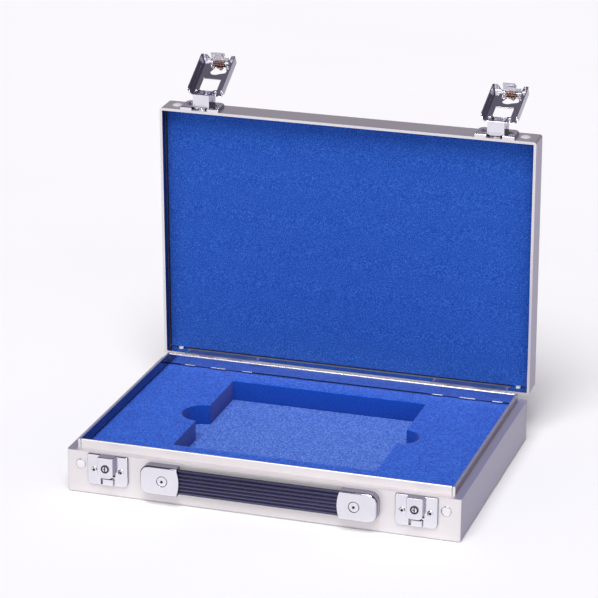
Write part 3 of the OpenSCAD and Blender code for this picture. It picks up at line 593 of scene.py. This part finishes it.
def makeFoam():
    low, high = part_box("base_foam_floor")
    floorPad = addBox("foamFloor", low, high)
    cutReliefs(floorPad, low, high[2] + past)
    low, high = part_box("base_foam_insert")
    insert = addBox("foamInsert", low, high)
    cutPocket(insert, low[2] - past, high[2] + past)
    cutReliefs(insert, low, high[2] - foamShape["reliefCover"])
    lidPad = addBox("lidFoam", *foamShape["lid"])
    for piece in (floorPad, insert, lidPad):
        roundEdges(piece, foamShape["edge"], segments=3, angle=40)
        if piece == lidPad:
            cutLidNotches(piece)
        low, high = bounds(piece)
        sliceUp(piece, foamShape["grid"])
        ripple(piece, low[2] if piece == lidPad else high[2], foamShape["wave"])
        outward(piece)
        smooth(piece, 40)
    lidPad.data.transform(openLid)
    finishPiece(floorPad, "base", "foam", "floorFoam", "base_foam_floor")
    finishPiece(insert, "base", "foam", "foam", "base_foam_insert")
    finishPiece(lidPad, "lid", "foam", "lidFoam", "lid_foam")


makeFoam()
print("foam ready")

# Pressed and cast metal pieces, with the soft edges of the plating

softPieces = {
    "keeper_plate": {"body": "base", "face": -0.1222, "shoulder": 0.001},
    "lock_housing": {"body": "base", "face": -0.1282, "shoulder": 0.00078},
    "handle_cap": {"body": "base", "face": -0.1295, "shoulder": 0.0027},
    "latch_plate": {"body": "lid", "metal": "lidChrome", "face": -0.123, "shoulder": 0.00095},
    "latch_bracket": {"body": "lid", "metal": "lidChrome", "face": -0.1342, "shoulder": 0.001},
    "latch_cover": {"body": "cover", "metal": "coverChrome", "edge": 0.00032, "segments": 3},
    "latch_catch": {"body": "catch", "metal": "catchChrome", "edge": 0.0002, "segments": 2},
    "hinge_base_leaf": {"body": "base", "metal": "steel", "slot": "steel", "edge": 0.00025, "segments": 2},
    "hinge_lid_leaf": {"body": "lid", "metal": "steel", "slot": "steel", "edge": 0.00025, "segments": 2},
}
plateShapes = {
    "keeper_plate": {"width": 0.037, "height": 0.028, "corners": (0.005, 0.0016), "low": 0.0104},
    "lock_housing": {"width": 0.0143, "height": 0.0192, "corners": (0.0046, 0.0008), "low": 0.0192},
    "latch_plate": {"width": 0.037, "height": 0.022, "corners": (0.001, 0.006), "low": 0.0393},
    "latch_bracket": {"width": 0.0155, "height": 0.0215, "corners": (0, 0), "low": 0.0446},
}
capShape = {
    "length": 0.0355,
    "half": 0.013,
    "corner": 0.0086,
    "bulge": 0.035,
    "inner": 0.0698,
    "height": 0.024,
    "strapEnd": 0.0727,  # the shoulder is smaller on edges that lie nearer the middle than this
    "strapShare": 0.3,
    "bulgeRoom": 1.2,  # shoulders' widths left free at both ends of the bulge, so that no side is short
}
# The block that a piece is rounded by stands a little outside it and ends behind the front wall
roundBlock = {"clear": 0.00002, "back": -0.11, "segments": 8, "arcSteps": 12, "bulgeSteps": 8}
softCopies = {"mergeWithin": 2e-6, "flatWithin": 1.5, "roundFrom": 50}


def cornerArc(x, z, radius, first):  # a quarter turn from an angle in degrees, or a sharp corner
    if not radius:
        return [(x, z)]
    steps = roundBlock["arcSteps"]
    turns = [radians(first + 90 * i / steps) for i in range(steps + 1)]
    return [(x + radius * cos(turn), z + radius * sin(turn)) for turn in turns]


def plateOutline(kind, side):
    plate, clear = plateShapes[kind], roundBlock["clear"]
    lowCorner, highCorner = plate["corners"]
    half, low = plate["width"] / 2 + clear, plate["low"] - clear
    top = plate["low"] + plate["height"] + clear
    points = cornerArc(half - highCorner, top - highCorner, highCorner, 0)
    points += cornerArc(highCorner - half, top - highCorner, highCorner, 90)
    points += cornerArc(lowCorner - half, low + lowCorner, lowCorner, 180)
    points += cornerArc(half - lowCorner, low + lowCorner, lowCorner, 270)
    return [(side * latchX + x, z) for x, z in points]


def capOutline(side):
    corner, bulge = capShape["corner"], capShape["bulge"]
    clear, steps = roundBlock["clear"], roundBlock["bulgeSteps"]
    half, far = capShape["half"] + clear, capShape["length"] + clear
    points = cornerArc(far - corner, half - corner, corner, 0)
    inside = half - capShape["bulgeRoom"] * softPieces["handle_cap"]["shoulder"]
    for z in [half] + [inside * (1 - i / steps) for i in range(2 * steps + 1)] + [-half]:
        points.append((bulge - (bulge * bulge - z * z) ** 0.5 - clear, z))
    points += cornerArc(far - corner, corner - half, corner, 270)
    return [(side * (capShape["inner"] + x), capShape["height"] + z) for x, z in points]


def addOutline(name, points, front, back):
    deselect()
    bpy.ops.mesh.primitive_circle_add(vertices=len(points), fill_type="NGON")
    piece = bpy.context.object
    piece.name = name
    for corner, (x, z) in zip(piece.data.vertices, points):
        corner.co = (x, front, z)
    take(piece)
    bpy.ops.object.mode_set(mode="EDIT")
    bpy.ops.mesh.select_all(action="SELECT")
    bpy.ops.mesh.extrude_region_move(TRANSFORM_OT_translate={"value": (0, back - front, 0)})
    bpy.ops.object.mode_set(mode="OBJECT")
    outward(piece)
    return piece


def roundShoulder(piece, kind, side, shape):  # keeps what lies inside a block with a rounded front edge
    points = capOutline(side) if kind == "handle_cap" else plateOutline(kind, side)
    front = shape["face"] - roundBlock["clear"] / 2
    block = addOutline("shoulderBlock", points, front, roundBlock["back"])
    mesh = block.data
    weights = mesh.attributes.new("bevel_weight_edge", "FLOAT", "EDGE")
    for line in mesh.edges:
        ends = [mesh.vertices[i].co for i in line.vertices]
        if max(abs(end.y - front) for end in ends) < mergeWithin:
            strapEnd = kind == "handle_cap" and max(abs(end.x) for end in ends) < capShape["strapEnd"]
            weights.data[line.index].value = capShape["strapShare"] if strapEnd else 1
    modify(
        block, "BEVEL", width=shape["shoulder"], segments=roundBlock["segments"], limit_method="WEIGHT",
        use_clamp_overlap=False,  # the short sides of the corners would stop it
    )
    combine(piece, block, "INTERSECT")


def softCopy(node, kind, side, name, shape):
    piece = bpy.data.objects.new(name, nodes[node].data.copy())
    bpy.context.scene.collection.objects.link(piece)
    take(piece)
    bpy.ops.object.mode_set(mode="EDIT")
    bpy.ops.mesh.select_all(action="SELECT")
    bpy.ops.mesh.remove_doubles(threshold=softCopies["mergeWithin"])
    bpy.ops.mesh.dissolve_limited(angle_limit=radians(softCopies["flatWithin"]))
    bpy.ops.object.mode_set(mode="OBJECT")
    if "shoulder" in shape:
        if shape["body"] == "lid":
            piece.data.transform(shutLid)
        roundShoulder(piece, kind, side, shape)
        if shape["body"] == "lid":
            piece.data.transform(openLid)
    else:
        roundEdges(piece, shape["edge"], shape["segments"], softCopies["roundFrom"], clamp=False)
    smooth(piece, 30)
    modify(piece, "WEIGHTED_NORMAL", keep_sharp=True)
    return piece


def makeSoftPieces():
    for kind, shape in softPieces.items():
        for sign, side in ((-1, "left"), (1, "right")):
            node = kind + "_" + side
            words = node.split("_")
            name = words[0] + "".join(word.capitalize() for word in words[1:])
            piece = softCopy(node, kind, sign, name, shape)
            body = shape["body"] if shape["body"] in ("base", "lid") else shape["body"] + "_" + side
            slot, metal = [shape.get(key, "chrome_plate") for key in ("slot", "metal")]
            finishPiece(piece, body, slot, metal, node)


makeSoftPieces()

lipShape = {
    "left": -0.0044,
    "right": 0.0063,
    "low": 0.0107,
    "high": 0.0179,
    "front": -0.12435,
    "back": -0.1203,
    "edge": 0.0019,
}


def makeLips():  # the pressed half-round foot below each lock
    for side, word in ((-1, "Left"), (1, "Right")):
        middle = side * latchX
        lip = addBox(
            "keeperLip" + word,
            (middle + lipShape["left"], lipShape["front"], lipShape["low"]),
            (middle + lipShape["right"], lipShape["back"], lipShape["high"]),
        )
        roundEdges(lip, lipShape["edge"], segments=8, angle=50)
        smooth(lip, 40)
        finishPiece(lip, "base", "chrome_plate", "chrome_plate")


makeLips()
print("metal pieces ready")

# Ribbed strap

strapShape = {
    "ribs": 7,
    "depth": 0.0009,
    "sharpness": 0.6,
    "crown": 0.034,
    "thickness": 0.0026,
    "columns": 24,
    "rows": 70,
}
strapFinish = {
    "low": (0.002, 0.002, 0.009),
    "high": (0.006, 0.006, 0.021),
    "line": (0.10, 0.095, 0.20),  # painted highlight just above each rib's crest
    "highlightRise": (0.46, 0.56),  # the painted highlight fades in and out along these shares of a rib
    "highlightFall": (0.62, 0.74),
    "highlightFade": (0.1, 0.95),  # and the painted highlight weakens up the strap
    "highlightLoss": 0.6,
    "sheen": (0.62, 0.58, 1.0, 1),
    "grain": 1400,
    "patches": 40,
    "tone": (0.35, 0.65),
    "roughness": 0.26,
    "unevenness": 0.1,
    "bump": (0.15, 0.0001),
}


def strapMaterial(name):
    finish = strapFinish
    made, shader, place = startMaterial(name, {"Specular IOR Level": 0.5, "Specular Tint": finish["sheen"]})
    grain = place.noise(finish["grain"], 3)
    broad = place.noise(finish["patches"])
    low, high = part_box("handle_strap")
    across = (axisOf(place, 2) - low[2]) * (1 / (high[2] - low[2]))
    step = (across * strapShape["ribs"]).maths("FRACT")
    # painted highlight above each rib's crest, weaker up the strap
    line = step.fade(*finish["highlightRise"]) * (1 - step.fade(*finish["highlightFall"]))
    line = line * (1 - across.fade(*finish["highlightFade"]) * finish["highlightLoss"])
    tone = (grain * 0.5 + broad * 0.5).fade(*finish["tone"])
    colour = line.between(tone.between(finish["low"], finish["high"]), finish["line"])
    rough = finish["roughness"] + (grain - 0.5) * finish["unevenness"]
    plug(shader, colour=colour, roughness=rough, normal=bumped(grain, *finish["bump"]))
    return made


def makeStrap():
    low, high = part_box("handle_strap")
    depth, crown = strapShape["depth"], strapShape["crown"]
    deselect()
    bpy.ops.mesh.primitive_grid_add(
        x_subdivisions=strapShape["columns"], y_subdivisions=strapShape["rows"], size=1
    )
    piece = bpy.context.object
    piece.name = "handleStrap"
    middle, half = (low[2] + high[2]) / 2, (high[2] - low[2]) / 2
    for v in piece.data.vertices:
        across = v.co.y * 2
        z = across * half
        back = crown - (crown ** 2 - z * z) ** 0.5
        rib = depth * abs(sin(pi * (across + 1) / 2 * strapShape["ribs"])) ** strapShape["sharpness"]
        v.co = (v.co.x * (high[0] - low[0]), low[1] + back + depth - rib, middle + z)
    settle(piece)
    modify(piece, "SOLIDIFY", thickness=strapShape["thickness"], offset=-1)
    outward(piece)
    smooth(piece, 50)
    finishPiece(piece, "base", "strap", "strap", "handle_strap")


materials["strap"] = strapMaterial("strap")
makeStrap()
print("strap ready")

# Nodes that keep their own mesh

keptNodes = {
    "baseSheet": ["base_shell"],
    "lidSheet": ["lid_shell"],
    "rivet": ["base_corner_rivets"],
    "lidRivet": ["lid_corner_rivets"],
    "chrome_plate": ["keeper_rivets", "handle_screws", "lock_plug_left", "lock_plug_right"],
    "lidChrome": ["latch_plate_rivets"],
    "steel": [
        "handle_core", "handle_backing_plates", "hinge_pin_left", "hinge_pin_right",
        "latch_pin_left", "latch_pin_right", "catch_pin_left", "catch_pin_right",
        "hinge_base_rivets", "hinge_lid_rivets",
    ],
    "spring": ["catch_spring_left", "catch_spring_right"],
}

for material, names in keptNodes.items():
    for name in names:
        dress(nodes[name], material)
print("kept nodes dressed")

# Floor, lamp and surroundings

studio = {
    "floorColour": (0.90, 0.895, 0.90),
    "floorPatches": 3,
    "floorTone": (0.3, 0.7),
    "floorDull": 0.985,
    "floorSize": 40,
    "floorBelow": 0.0002,
    "sunStrength": 3.3,
    "sunAngle": 38,
    "sunFrom": (0.06, -0.54, 0.84),
    "dark": (0.14, 0.128, 0.17),
    "back": (0.30, 0.27, 0.33),
    "front": (1.06, 1.03, 1.05),
    "lowSky": (0.36, 0.54),
    "frontSky": (-0.05, 0.6),
    "backSky": {"away": (0.2, 0.8), "right": (-0.15, 0.22), "up": (0.0, 0.22)},
}


def addFloor():
    deselect()
    bpy.ops.mesh.primitive_plane_add(size=studio["floorSize"], location=(0, 0, -studio["floorBelow"]))
    floor = bpy.context.object
    floor.name = "paleFloor"
    settle(floor)
    made, shader, place = startMaterial("paleFloor", {"Roughness": 0.8, "Specular IOR Level": 0.2})
    tone = place.noise(studio["floorPatches"]).fade(*studio["floorTone"])
    pale = studio["floorColour"]
    plug(shader, colour=tone.between(tuple(c * studio["floorDull"] for c in pale), pale))
    floor.data.materials.append(made)


def addLamp():
    lamp = bpy.data.lights.new("softSun", "SUN")
    lamp.energy = studio["sunStrength"]
    lamp.angle = radians(studio["sunAngle"])
    sun = bpy.data.objects.new("softSun", lamp)
    sun.rotation_euler = Vector(studio["sunFrom"]).to_track_quat("Z", "Y").to_euler()
    bpy.context.scene.collection.objects.link(sun)


def addWorld():  # pale low in front, half-dark low at the rear left, dark elsewhere
    world = bpy.data.worlds.new("studio")
    bpy.context.scene.world = world
    world.use_nodes = True
    tree = world.node_tree
    direction = Wire(tree).node("ShaderNodeTexCoord", out="Generated")
    right, away, up = [axisOf(direction, axis) for axis in range(3)]
    low = 1 - up.fade(*studio["lowSky"])
    backSky = studio["backSky"]
    behind = away.fade(*backSky["away"]) * (1 - right.fade(*backSky["right"]))
    behind = behind * low * up.fade(*backSky["up"])
    before = (0 - away).fade(*studio["frontSky"]) * low
    shade = before.between(behind.between(studio["dark"], studio["back"]), studio["front"])
    tree.links.new(shade.socket, tree.nodes["Background"].inputs["Color"])


addFloor()
addLamp()
addWorld()
bpy.context.scene.view_settings.view_transform = "Standard"
print("studio ready")
